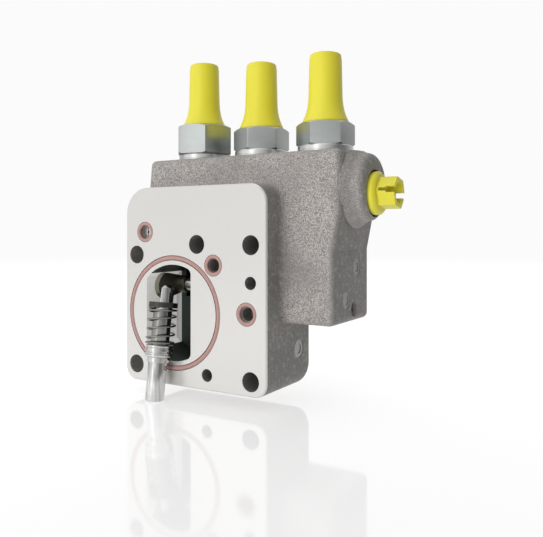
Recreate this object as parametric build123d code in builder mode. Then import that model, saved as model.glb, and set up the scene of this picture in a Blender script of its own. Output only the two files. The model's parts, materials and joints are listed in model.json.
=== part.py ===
from build123d import *
import os
from math import cos, radians, sin

# Pump control valve: a cast housing with a ground mounting face, three spring adjusters on top
# and a lever with a hanging feedback pin that works through a slot in the mounting face.
# Origin: centre of the large seal ring on the mounting face. +X right, +Y into the body, +Z up.
# All sizes are in millimetres.

os.makedirs("parts", exist_ok=True)

# Clearances
running_clearance = 0.03
fit_clearance = 0.02
screw_clearance = 0.05
body_gap = 0.3

# Flange with the mounting face
flange_left = -30.5
flange_right = 53.0
flange_bottom = -35.0
flange_top = 61.0
flange_thickness = 13.0
flange_corner_top_left = 13.0
flange_corner_top_right = 9.0
flange_corner_bottom = 6.5
face_chamfer = 0.6
flange_root_radius = 3.0
joint_overlap = 1.0

# Lower block behind the flange
lower_block_left = -26.0
lower_block_depth = 44.7
lower_block_heel_radius = 10.0
cast_edge_radius = 3.0
body_edge_radius = 2.8

# Upper body with the valve bores
body_left = -28.0
body_left_at_top = -26.2
body_draft_height = 58.0
body_right = 79.0
body_bottom = -2.8
body_top = 76.0
body_depth = 53.4
pad_right = 82.3
pad_height = 48.0
pad_foot_height = 31.0

# Port boss on the right end, a little above the port's axis, and the port, axis along X
port_y = 32.0
port_z = 56.6
port_face = 91.2
boss_z = 59.5
boss_root_radius = 18.9
boss_neck_radius = 15.9
boss_end_radius = 14.8
boss_root = 82.0
boss_neck_length = 4.3
boss_neck = boss_root + boss_neck_length
boss_start = 60.0
boss_neck_fillet = 6.0
boss_rim_radius = 3.5
port_bore_radius = 6.0
port_bore_depth = 12.2
port_drilling_radius = 2.5
port_spot_face_radius = 10.6
port_spot_face_depth = 1.7

# Large seal ring and the lever slot in the mounting face
ring_groove_outer = 27.8
ring_groove_inner = 25.3
ring_groove_depth = 1.9
ring_section = 2.2
slot_left = -16.7
slot_right = 10.7
slot_arc_radius = 23.3
slot_corner_radius = 3.0
slot_depth = 24.0

# Holes in the mounting face: X, Z
bolt_hole_radius = 4.5
left_bolt_x = -23.3
left_top_bolt_z = 27.7
left_bottom_bolt_z = -26.9
right_bolt_x = 44.5
right_top_bolt_z = 33.2
right_bottom_bolt_z = -28.1
middle_bolt_x = 14.2
middle_bolt_z = 33.2
bolt_head_relief_radius = 8.5
bolt_spot_face_radius = 8.0
upper_bolt_seat_depth = 52.4
lower_bolt_seat_depth = 39.5
dowel_hole_radius = 3.0
dowel_hole_depth = 12.0
dowel_holes = [(44.4, 16.1), (20.3, -27.9)]

# Oil ports in the mounting face, each with a small seal ring
port_ring_section = 1.8
port_counterbore_depth = 1.5
port_hole_radius = 3.1
port_hole_depth = 9.0
oil_drilling_radius = 2.2
oil_drilling_depth = 31.0
oil_ports = [(-17.9, 39.0, 5.1), (23.8, 23.5, 5.1), (42.2, 2.0, 5.4)]

# Stations of the three adjusters
station_y = 32.0
station_pitch = 35.6
left_station_x = -5.2
station_spot_face_radius = 15.5
station_spot_face_depth = 0.3
plug_thread_radius = 11.0
plug_bore_depth = 15.0
spring_bore_radius = 8.0
spring_bore_floor = 50.0
spool_radius = 5.0
spool_bore_floor = 13.0

# Adjuster plugs
seal_thickness = 1.2
seal_outer_radius = 13.3
seal_inner_radius = 11.2
collar_radius = 13.2
collar_height = 2.6
left_hex_width = 27.0
left_hex_height = 14.9
hex_width = 24.0
hex_height = 10.8
hex_turns = [8.3, 32.0, 26.0]
plug_chamber_radius = 8.0
plug_chamber_roof = 79.5
hex_chamfer_slope = 0.55

# Spindles, lock nuts and caps
spindle_radius = 3.0
spindle_height = 27.5
spindle_socket_width = 3.0
spindle_socket_depth = 3.5
spindle_chamfer = 0.6
nut_width = 10.0
nut_height = 5.0
cap_height = 32.6
cap_top_radius = 7.5
cap_neck_radius = 8.1
cap_neck_height = 7.8
cap_foot_radius = 10.2
cap_foot_height = 1.5
cap_lip_step = 0.7
cap_wall = 1.2
cap_edge_radius = 1.2

# Spring seats, springs and spools
seat_below_roof = 7.5
seat_bottom = plug_chamber_roof - seat_below_roof
seat_thickness = 3.0
seat_spigot_radius = 4.0
seat_spigot_length = 3.0
spool_collar_radius = 6.6
spool_collar_thickness = 2.0
spool_head_radius = 4.0
spool_head_height = 3.0
valve_spring_outer_radius = 6.8
valve_spring_wire = 1.8
valve_spring_turns = 5
spool_land_groove_radius = 3.6
land_groove_bottom = 28.0
land_groove_top = 36.0
spool_foot_room = 2.0
power_spool_lift = 1.0

# Lever and its pivot
lever_x = -4.4
pivot_y = 10.0
pivot_z = 13.3
pivot_radius = 2.25
pivot_right_end = 15.5
pivot_hole_recess = 1.5
lever_hub_radius = 4.2
lever_hub_left = -13.6
lever_hub_right = 1.5
spacer_radius = 3.25
eye_y = -0.55
eye_z = 13.1
eye_radius = 6.2
tongue_thickness = 2.6
arm_thickness = 5.6
arm_end_width = 10.0
arm_end_thickness = 4.0
arm_end_front = 27.0
arm_end_back = 36.5
arm_end_corner_radius = 1.0
neck_radius = 2.0
neck_gap = 0.3
lever_chamber_width = 13.0
lever_chamber_back = 39.0
lever_chamber_floor = 5.5
lever_chamber_roof = 22.5

# Feedback pin: lengths along the pin from the centre of its axle, and its lean in degrees
pin_lean_degrees = 8.42
pin_radius = 4.5
axle_drop = 2.2
tab_top = -2.2
tab_bevel = 1.2
tab_shoulder = 6.45
tab_gap = 0.2
axle_radius = 1.25
axle_head_radius = 2.4
axle_head_thickness = 1.0
washer_start = 6.0
washer_end = 8.5
washer_radius = 6.9
sleeve_start = 26.3
sleeve_groove_start = 29.2
sleeve_groove_end = 29.9
sleeve_end = 31.9
sleeve_top_radius = 6.6
sleeve_low_radius = 6.4
sleeve_groove_radius = 5.7
snap_ring_start = 32.1
snap_ring_end = 34.4
snap_ring_radius = 5.3
snap_groove_depth = 0.5
pin_end = 52.5
pin_end_chamfer = 0.6
feedback_spring_outer_radius = 7.0
feedback_spring_wire = 0.9
feedback_spring_turns = 4.5

# Yellow port plug
plug_flange_radius = 9.9
plug_flange_thickness = 2.6
plug_flange_bevel = 1.2
plug_bevel_radius = 8.6
port_hex_width = 13.0
port_hex_turn = 47.7
port_plug_end = 102.4
port_plug_socket_radius = 4.6
port_plug_socket_depth = 6.5
port_plug_slot_width = 2.6
port_plug_slot_depth = 4.5
port_plug_shank_length = 9.0
port_seal_thickness = 1.0
port_seal_radius = 9.4

# Expander plugs: X of the face they sit in, Y, Z, radius and how far they sit back
expander_length = 5.0
expander_dimple_radius = 2.4
expander_dimple_depth = 0.3
cross_drilling_radius = 2.5
expanders = [
    (body_right, 39.0, 22.5, 4.2, 0.3),
    (body_right, 27.4, 7.8, 3.95, 0.3),
    (body_right, 36.0, 3.0, 3.6, 2.4),
    (flange_right, 29.8, -17.0, 4.5, 0.3),
]
cross_drilling_length = 22.0

# Restrictor screwed into the upper left oil port
restrictor_start = 2.6
restrictor_length = 5.0
restrictor_bore_radius = 0.6
restrictor_slot_width = 1.0
restrictor_slot_depth = 1.2

# Derived places
station_xs = [left_station_x, left_station_x + station_pitch, left_station_x + 2 * station_pitch]
station_names = ["left", "middle", "right"]
root_end_x = flange_left + flange_corner_top_left
slot_centre_x = (slot_left + slot_right) / 2
pin_lean = radians(pin_lean_degrees)
pin_direction = (0, -sin(pin_lean), -cos(pin_lean))
axle_y = eye_y - axle_drop * sin(pin_lean)
axle_z = eye_z - axle_drop * cos(pin_lean)
pin_plane = Plane(origin=(lever_x, axle_y, axle_z), x_dir=(1, 0, 0), z_dir=pin_direction)
tab_face = tongue_thickness / 2 + tab_gap
pin_side = Plane(origin=pin_plane.origin, x_dir=(1, 0, 0), z_dir=(0, cos(pin_lean), -sin(pin_lean)))
pin_front = Plane(origin=pin_plane.origin, x_dir=(0, -cos(pin_lean), sin(pin_lean)), z_dir=(1, 0, 0))
pin_axis = Axis(pin_plane.origin, pin_plane.z_dir)
plug_seat_z = body_top - station_spot_face_depth
collar_bottom_z = plug_seat_z + seal_thickness
hex_bottom_z = collar_bottom_z + collar_height
hex_widths = [left_hex_width, hex_width, hex_width]
hex_heights = [left_hex_height, hex_height, hex_height]
hex_tops = [hex_bottom_z + height for height in hex_heights]
shank_bottom_z = plug_seat_z - plug_bore_depth + body_gap
spool_rests = [spring_bore_floor + power_spool_lift, spring_bore_floor, spring_bore_floor]
neck_top_z = pivot_z + arm_end_thickness / 2 + neck_gap
neck_bottom_z = pivot_z - arm_end_thickness / 2 - neck_gap
spool_bottoms = [neck_top_z, spool_bore_floor + spool_foot_room, spool_bore_floor + spool_foot_room]
spool_bore_floors = [lever_chamber_roof - joint_overlap, spool_bore_floor, spool_bore_floor]
left_bolts = [(left_bolt_x, left_top_bolt_z), (left_bolt_x, left_bottom_bolt_z)]
deep_bolts = [
    (middle_bolt_x, middle_bolt_z),
    (right_bolt_x, right_top_bolt_z),
    (right_bolt_x, right_bottom_bolt_z),
]
bolt_seat_ys = [upper_bolt_seat_depth, upper_bolt_seat_depth, lower_bolt_seat_depth]
face_ring_radius = (ring_groove_outer + ring_groove_inner) / 2
port_seat_x = port_face - port_spot_face_depth
port_flange_x = port_seat_x + port_seal_thickness


def upright(x):
    """Plane on a station's axis: local x is the radius and local y is the height."""
    return Plane(origin=(x, station_y, 0), x_dir=(1, 0, 0), z_dir=(0, -1, 0))


def station_axis(x):
    return Axis((x, station_y, 0), (0, 0, 1))


def level(x, z):
    """Level plane on a station's axis at height z."""
    return Plane(origin=(x, station_y, z), x_dir=(1, 0, 0), z_dir=(0, 0, 1))


def side_plane(x, y, z):
    """Plane facing +X at a point on the right side: local x is Y and local y is Z."""
    return Plane(origin=(x, y, z), x_dir=(0, 1, 0), z_dir=(1, 0, 0))


# Casting forms, each rounded by itself and joined in the housing
with BuildPart() as lower_block:
    with BuildSketch(Plane.YZ.offset(lower_block_left)) as block_side:
        with BuildLine():
            Polyline(
                (0, flange_bottom),
                (lower_block_depth, flange_bottom),
                (lower_block_depth, body_bottom + 2 * cast_edge_radius),
                (0, body_bottom + 2 * cast_edge_radius),
                close=True,
            )
        make_face()
        heel = block_side.vertices().group_by(Axis.Y)[0].sort_by(Axis.X)[-1]
        fillet(heel, lower_block_heel_radius)
    extrude(amount=flange_right - lower_block_left)
    right_side = lower_block.faces().sort_by(Axis.X)[-1]
    low_edges = right_side.edges().filter_by(lambda edge: edge.center().Z < body_bottom)
    outer_edges = low_edges.filter_by(lambda edge: edge.center().Y > face_chamfer)
    fillet(outer_edges, flange_corner_bottom)

with BuildPart() as upper_body:
    with BuildSketch(Plane.XZ.offset(-flange_thickness)) as body_front:
        with BuildLine():
            Polyline(
                (body_left, body_bottom),
                (body_right, body_bottom),
                (body_right, pad_foot_height),
                (pad_right, pad_height),
                (pad_right, body_top),
                (body_left_at_top, body_top),
                (body_left, body_draft_height),
                close=True,
            )
        make_face()
        fillet(body_front.vertices(), cast_edge_radius)
    extrude(amount=-(body_depth - flange_thickness))
    outline_faces = upper_body.faces().sort_by(Axis.Y)
    fillet(outline_faces[0].edges() + outline_faces[-1].edges(), body_edge_radius)

with BuildPart() as port_boss:
    with BuildSketch(Plane(origin=(0, port_y, boss_z), x_dir=(1, 0, 0), z_dir=(0, -1, 0))) as boss_profile:
        with BuildLine():
            Polyline(
                (boss_start, 0),
                (port_face, 0),
                (port_face, boss_end_radius),
                (boss_neck, boss_neck_radius),
                (boss_root, boss_root_radius),
                (boss_start, 0),
            )
        make_face()
        boss_rim = boss_profile.vertices().sort_by(Axis.X)[-2:].sort_by(Axis.Y)[-1]
        fillet(boss_rim, boss_rim_radius)
        boss_corners = boss_profile.vertices().filter_by(lambda corner: corner.Y > boss_end_radius)
        fillet(boss_corners.sort_by(Axis.Y)[-2], boss_neck_fillet)
    revolve(axis=Axis((0, port_y, boss_z), (1, 0, 0)))
    with BuildSketch(Plane.XY.offset(body_top)):
        with Locations((port_face, port_y)):
            Rectangle(4 * boss_root_radius, 4 * boss_root_radius)
    extrude(amount=boss_root_radius, mode=Mode.SUBTRACT)

# Hollow root between the flange's edge and the front of the upper body
with BuildPart() as flange_root:
    root_start_z = body_bottom + cast_edge_radius
    with BuildLine() as root_path:
        FilletPolyline(
            (flange_right, flange_thickness, root_start_z),
            (flange_right, flange_thickness, flange_top),
            (root_end_x, flange_thickness, flange_top),
            radius=flange_corner_top_right,
        )
    with BuildSketch(Plane.XY.offset(root_start_z)):
        with Locations((flange_right + flange_root_radius / 2, flange_thickness - flange_root_radius / 2)):
            Rectangle(flange_root_radius + joint_overlap, flange_root_radius + joint_overlap)
        with Locations((flange_right + flange_root_radius, flange_thickness - flange_root_radius)):
            Circle(flange_root_radius, mode=Mode.SUBTRACT)
    sweep(path=root_path.wire())

# Housing: flange, lower block, upper body and port boss in one casting
with BuildPart() as housing:
    with BuildSketch(Plane.XZ) as flange_outline:
        with Locations(((flange_left + flange_right) / 2, (flange_bottom + flange_top) / 2)):
            Rectangle(flange_right - flange_left, flange_top - flange_bottom)
        low_corners = flange_outline.vertices().group_by(Axis.Y)[0]
        fillet(low_corners, flange_corner_bottom)
        top_left_corner = flange_outline.vertices().group_by(Axis.Y)[-1].sort_by(Axis.X)[0]
        fillet(top_left_corner, flange_corner_top_left)
        top_right_corner = flange_outline.vertices().group_by(Axis.Y)[-1].sort_by(Axis.X)[-1]
        fillet(top_right_corner, flange_corner_top_right)
    extrude(amount=-flange_thickness)
    add(upper_body.part)
    add(lower_block.part)
    add(port_boss.part)
    add(flange_root.part)
    face_edges = housing.faces().sort_by(Axis.Y)[0].edges()
    chamfer(face_edges, face_chamfer)

    # Groove for the large seal ring and the lever slot inside it
    with BuildSketch(Plane.XZ):
        Circle(ring_groove_outer)
        Circle(ring_groove_inner, mode=Mode.SUBTRACT)
    extrude(amount=-ring_groove_depth, mode=Mode.SUBTRACT)
    with BuildSketch(Plane.XZ) as slot_outline:
        Circle(slot_arc_radius)
        with Locations((slot_centre_x, 0)):
            Rectangle(slot_right - slot_left, 4 * slot_arc_radius, mode=Mode.INTERSECT)
        fillet(slot_outline.vertices(), slot_corner_radius)
    extrude(amount=-slot_depth, mode=Mode.SUBTRACT)
    with BuildSketch(Plane.XY.offset(lever_chamber_floor)) as chamber_plan:
        chamber_front = slot_depth - 2 * slot_corner_radius
        with Locations((lever_x, (chamber_front + lever_chamber_back) / 2)):
            Rectangle(lever_chamber_width, lever_chamber_back - chamber_front)
        fillet(chamber_plan.vertices(), slot_corner_radius)
    extrude(amount=lever_chamber_roof - lever_chamber_floor, mode=Mode.SUBTRACT)

    # Bores of the three adjusters, from the top
    for x, floor in zip(station_xs, spool_bore_floors):
        with BuildSketch(level(x, plug_seat_z)):
            Circle(station_spot_face_radius)
        extrude(amount=station_spot_face_radius, mode=Mode.SUBTRACT)
        with BuildSketch(level(x, plug_seat_z)):
            Circle(plug_thread_radius)
        extrude(amount=-plug_bore_depth, mode=Mode.SUBTRACT)
        with BuildSketch(level(x, plug_seat_z)):
            Circle(spring_bore_radius)
        extrude(amount=spring_bore_floor - plug_seat_z, mode=Mode.SUBTRACT)
        with BuildSketch(level(x, plug_seat_z)):
            Circle(spool_radius)
        extrude(amount=floor - plug_seat_z, mode=Mode.SUBTRACT)

    # Side port with its spot face and the drilling into the right spring chamber
    with BuildSketch(side_plane(port_face, port_y, port_z)):
        Circle(port_spot_face_radius)
    extrude(amount=-port_spot_face_depth, mode=Mode.SUBTRACT)
    with BuildSketch(side_plane(port_face, port_y, port_z)):
        Circle(port_bore_radius)
    extrude(amount=-port_bore_depth, mode=Mode.SUBTRACT)
    with BuildSketch(side_plane(port_face, port_y, port_z)):
        Circle(port_drilling_radius)
    extrude(amount=station_xs[2] - port_face, mode=Mode.SUBTRACT)

    # Bolt holes: the left pair through the flange only, the others through the whole casting
    with BuildSketch(Plane.XZ):
        with Locations(*left_bolts, *deep_bolts):
            Circle(bolt_hole_radius)
    extrude(amount=-2 * body_depth, mode=Mode.SUBTRACT)
    with BuildSketch(Plane.XZ.offset(-flange_thickness)):
        with Locations(*left_bolts):
            Circle(bolt_head_relief_radius)
    extrude(amount=-body_depth, mode=Mode.SUBTRACT)
    for (x, z), seat_y in zip(deep_bolts, bolt_seat_ys):
        with BuildSketch(Plane.XZ.offset(-seat_y)):
            with Locations((x, z)):
                Circle(bolt_spot_face_radius)
        extrude(amount=-body_depth, mode=Mode.SUBTRACT)

    # Dowel holes and oil ports in the mounting face
    with BuildSketch(Plane.XZ):
        with Locations(*dowel_holes):
            Circle(dowel_hole_radius)
    extrude(amount=-dowel_hole_depth, mode=Mode.SUBTRACT)
    for x, z, counterbore_radius in oil_ports:
        for radius, depth in (
            (counterbore_radius, port_counterbore_depth),
            (port_hole_radius, port_hole_depth),
            (oil_drilling_radius, oil_drilling_depth),
        ):
            with BuildSketch(Plane.XZ):
                with Locations((x, z)):
                    Circle(radius)
            extrude(amount=-depth, mode=Mode.SUBTRACT)

    # Cross drillings from the right side, each closed by an expander plug
    for x, y, z, radius, setback in expanders:
        with BuildSketch(side_plane(x, y, z)):
            Circle(radius)
        extrude(amount=-(setback + expander_length), mode=Mode.SUBTRACT)
        with BuildSketch(side_plane(x, y, z)):
            Circle(cross_drilling_radius)
        extrude(amount=-cross_drilling_length, mode=Mode.SUBTRACT)

    # Hole for the lever pivot, drilled from the left side across the slot
    with BuildSketch(side_plane(pivot_right_end, pivot_y, pivot_z)):
        Circle(pivot_radius + fit_clearance)
    extrude(amount=flange_left - pivot_right_end, mode=Mode.SUBTRACT)
housing.part.label = "housing"
export_step(housing.part, "parts/housing.step")

# Seal rings that lie in the mounting face
with BuildPart() as face_seal_ring:
    with BuildSketch(Plane.XY):
        with Locations((face_ring_radius, ring_groove_depth - ring_section / 2 - fit_clearance)):
            Circle(ring_section / 2)
    revolve(axis=Axis.Y)
face_seal_ring.part.label = "face_seal_ring"
export_step(face_seal_ring.part, "parts/face_seal_ring.step")

with BuildPart() as port_seal_rings:
    for x, z, counterbore_radius in oil_ports:
        small_ring_radius = counterbore_radius - port_ring_section / 2 - fit_clearance
        small_ring_y = port_counterbore_depth - port_ring_section / 2 - fit_clearance
        with BuildSketch(Plane.XY.offset(z)):
            with Locations((x + small_ring_radius, small_ring_y)):
                Circle(port_ring_section / 2)
        revolve(axis=Axis((x, 0, z), (0, 1, 0)))
port_seal_rings.part.label = "port_seal_rings"
export_step(port_seal_rings.part, "parts/port_seal_rings.step")

with BuildPart() as restrictor:
    restrictor_x, restrictor_z, _ = oil_ports[0]
    with BuildSketch(Plane.XZ.offset(-restrictor_start)):
        with Locations((restrictor_x, restrictor_z)):
            Circle(port_hole_radius - fit_clearance)
            Circle(restrictor_bore_radius, mode=Mode.SUBTRACT)
    extrude(amount=-restrictor_length)
    with BuildSketch(Plane.XZ.offset(-restrictor_start)):
        with Locations((restrictor_x, restrictor_z)):
            Rectangle(restrictor_slot_width, 3 * port_hole_radius)
    extrude(amount=-restrictor_slot_depth, mode=Mode.SUBTRACT)
restrictor.part.label = "restrictor"
export_step(restrictor.part, "parts/restrictor.step")

with BuildPart() as expander_plugs:
    for x, y, z, radius, setback in expanders:
        with BuildSketch(side_plane(x - setback, y, z)):
            Circle(radius - fit_clearance)
        extrude(amount=-expander_length)
        with BuildSketch(side_plane(x - setback, y, z)):
            Circle(expander_dimple_radius)
        extrude(amount=-expander_dimple_depth, mode=Mode.SUBTRACT)
expander_plugs.part.label = "expander_plugs"
export_step(expander_plugs.part, "parts/expander_plugs.step")

# Lever on its pivot, with a spacer that keeps it to the left of the slot
with BuildPart() as lever_pivot:
    with BuildSketch(side_plane(pivot_right_end, pivot_y, pivot_z)):
        Circle(pivot_radius)
    extrude(amount=flange_left + pivot_hole_recess - pivot_right_end)
lever_pivot.part.label = "lever_pivot"
export_step(lever_pivot.part, "parts/lever_pivot.step")

with BuildPart() as pivot_spacer:
    with BuildSketch(side_plane(slot_right - fit_clearance, pivot_y, pivot_z)):
        Circle(spacer_radius)
        Circle(pivot_radius + fit_clearance, mode=Mode.SUBTRACT)
    extrude(amount=lever_hub_right + body_gap - slot_right + fit_clearance)
pivot_spacer.part.label = "pivot_spacer"
export_step(pivot_spacer.part, "parts/pivot_spacer.step")

with BuildPart() as lever:
    with BuildSketch(side_plane(lever_hub_left, pivot_y, pivot_z)):
        Circle(lever_hub_radius)
    extrude(amount=lever_hub_right - lever_hub_left)
    with BuildSketch(side_plane(lever_x - tongue_thickness / 2, 0, 0)):
        with Locations((eye_y, eye_z)):
            Circle(eye_radius)
        with Locations((pivot_y, pivot_z)):
            Circle(lever_hub_radius)
        make_hull()
    extrude(amount=tongue_thickness)
    with BuildSketch(side_plane(lever_x - arm_thickness / 2, 0, 0)):
        with Locations((pivot_y, pivot_z)):
            Circle(lever_hub_radius)
        with Locations((arm_end_front, pivot_z)):
            Circle(arm_end_thickness / 2)
        make_hull()
    extrude(amount=arm_thickness)
    with BuildSketch(Plane.XY.offset(pivot_z - arm_end_thickness / 2)) as arm_end:
        with Locations((lever_x, (arm_end_front + arm_end_back) / 2)):
            Rectangle(arm_end_width, arm_end_back - arm_end_front)
        fillet(arm_end.vertices(), arm_end_corner_radius)
        with Locations((left_station_x, station_y)):
            Circle(neck_radius + neck_gap, mode=Mode.SUBTRACT)
        with Locations((left_station_x, station_y + station_y / 2)):
            Rectangle(2 * (neck_radius + neck_gap), station_y, mode=Mode.SUBTRACT)
    extrude(amount=arm_end_thickness)
    with BuildSketch(side_plane(slot_left, 0, 0)):
        with Locations((pivot_y, pivot_z)):
            Circle(pivot_radius + running_clearance)
        with Locations((axle_y, axle_z)):
            Circle(axle_radius + running_clearance)
    extrude(amount=slot_right - slot_left, mode=Mode.SUBTRACT)
lever.part.label = "lever"
export_step(lever.part, "parts/lever.step")

# Feedback pin: its flat tab lies against the eye of the lever and turns on a headed axle
with BuildPart() as feedback_pin:
    with BuildSketch(pin_side):
        with BuildLine():
            Polyline(
                (0, tab_top),
                (pin_radius - tab_bevel, tab_top),
                (pin_radius, tab_top + tab_bevel),
                (pin_radius, snap_ring_start),
                (pin_radius - snap_groove_depth, snap_ring_start),
                (pin_radius - snap_groove_depth, snap_ring_end),
                (pin_radius, snap_ring_end),
                (pin_radius, pin_end - pin_end_chamfer),
                (pin_radius - pin_end_chamfer, pin_end),
                (0, pin_end),
                close=True,
            )
        make_face()
    revolve(axis=pin_axis)
    with BuildSketch(pin_side):
        with Locations((tab_face - pin_radius, (tab_shoulder + 2 * tab_top) / 2)):
            Rectangle(2 * pin_radius, tab_shoulder - 2 * tab_top)
    extrude(amount=2 * pin_radius, both=True, mode=Mode.SUBTRACT)
    with BuildSketch(pin_front):
        Circle(axle_radius + fit_clearance)
    extrude(amount=2 * pin_radius, both=True, mode=Mode.SUBTRACT)
feedback_pin.part.label = "feedback_pin"
export_step(feedback_pin.part, "parts/feedback_pin.step")

with BuildPart() as pin_axle:
    with BuildSketch(pin_front.offset(-tab_face)):
        Circle(axle_radius)
    extrude(amount=tab_face + pin_radius)
    with BuildSketch(pin_front.offset(-tab_face)):
        Circle(axle_head_radius)
    extrude(amount=-axle_head_thickness)
pin_axle.part.label = "pin_axle"
export_step(pin_axle.part, "parts/pin_axle.step")

with BuildPart() as pin_washer:
    with BuildSketch(pin_plane.offset(washer_start)):
        Circle(washer_radius)
        Circle(pin_radius + fit_clearance, mode=Mode.SUBTRACT)
    extrude(amount=washer_end - washer_start)
pin_washer.part.label = "pin_washer"
export_step(pin_washer.part, "parts/pin_washer.step")

with BuildPart() as feedback_sleeve:
    with BuildSketch(pin_side):
        with BuildLine():
            Polyline(
                (pin_radius + running_clearance, sleeve_start),
                (sleeve_top_radius, sleeve_start),
                (sleeve_top_radius, sleeve_groove_start),
                (sleeve_groove_radius, sleeve_groove_start),
                (sleeve_groove_radius, sleeve_groove_end),
                (sleeve_low_radius, sleeve_groove_end),
                (sleeve_low_radius, sleeve_end),
                (pin_radius + running_clearance, sleeve_end),
                close=True,
            )
        make_face()
    revolve(axis=pin_axis)
feedback_sleeve.part.label = "feedback_sleeve"
export_step(feedback_sleeve.part, "parts/feedback_sleeve.step")

with BuildPart() as snap_ring:
    with BuildSketch(pin_side):
        with BuildLine():
            Polyline(
                (pin_radius - snap_groove_depth + fit_clearance, snap_ring_start + fit_clearance),
                (snap_ring_radius, snap_ring_start + fit_clearance),
                (snap_ring_radius, snap_ring_end - fit_clearance),
                (pin_radius - snap_groove_depth + fit_clearance, snap_ring_end - fit_clearance),
                close=True,
            )
        make_face()
    revolve(axis=pin_axis)
snap_ring.part.label = "snap_ring"
export_step(snap_ring.part, "parts/snap_ring.step")

with BuildPart() as feedback_spring:
    feedback_spring_length = sleeve_start - washer_end - feedback_spring_wire - 2 * fit_clearance
    with BuildLine():
        feedback_coil = Helix(
            pitch=feedback_spring_length / feedback_spring_turns,
            height=feedback_spring_length,
            radius=feedback_spring_outer_radius - feedback_spring_wire / 2,
            center=pin_plane.origin + pin_plane.z_dir * (washer_end + feedback_spring_wire / 2 + fit_clearance),
            direction=pin_plane.z_dir,
        )
    with BuildSketch(Plane(origin=feedback_coil @ 0, z_dir=feedback_coil % 0)):
        Circle(feedback_spring_wire / 2)
    sweep(path=feedback_coil, is_frenet=True)
feedback_spring.part.label = "feedback_spring"
export_step(feedback_spring.part, "parts/feedback_spring.step")

# Side port plug with its seal
with BuildPart() as port_plug_seal:
    with BuildSketch(side_plane(port_seat_x, port_y, port_z)):
        Circle(port_seal_radius)
        Circle(port_bore_radius, mode=Mode.SUBTRACT)
    extrude(amount=port_seal_thickness)
port_plug_seal.part.label = "port_plug_seal"
export_step(port_plug_seal.part, "parts/port_plug_seal.step")

with BuildPart() as port_plug:
    with BuildSketch(Plane(origin=(0, port_y, port_z), x_dir=(1, 0, 0), z_dir=(0, -1, 0))):
        with BuildLine():
            Polyline(
                (port_seat_x - port_plug_shank_length, 0),
                (port_seat_x - port_plug_shank_length, port_bore_radius - screw_clearance),
                (port_flange_x, port_bore_radius - screw_clearance),
                (port_flange_x, plug_flange_radius),
                (port_flange_x + plug_flange_thickness, plug_flange_radius),
                (port_flange_x + plug_flange_thickness + plug_flange_bevel, plug_bevel_radius),
                (port_flange_x + plug_flange_thickness + plug_flange_bevel, 0),
                close=True,
            )
        make_face()
    revolve(axis=Axis((0, port_y, port_z), (1, 0, 0)))
    with BuildSketch(side_plane(port_flange_x + plug_flange_thickness, port_y, port_z)):
        RegularPolygon(port_hex_width / 2, 6, major_radius=False, rotation=port_hex_turn)
    extrude(amount=port_plug_end - port_flange_x - plug_flange_thickness)
    with BuildSketch(side_plane(port_plug_end, port_y, port_z)):
        Circle(port_plug_socket_radius)
    extrude(amount=-port_plug_socket_depth, mode=Mode.SUBTRACT)
    with BuildSketch(side_plane(port_plug_end, port_y, port_z)):
        Rectangle(3 * port_hex_width, port_plug_slot_width)
    extrude(amount=-port_plug_slot_depth, mode=Mode.SUBTRACT)
port_plug.part.label = "port_plug"
export_step(port_plug.part, "parts/port_plug.step")

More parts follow.
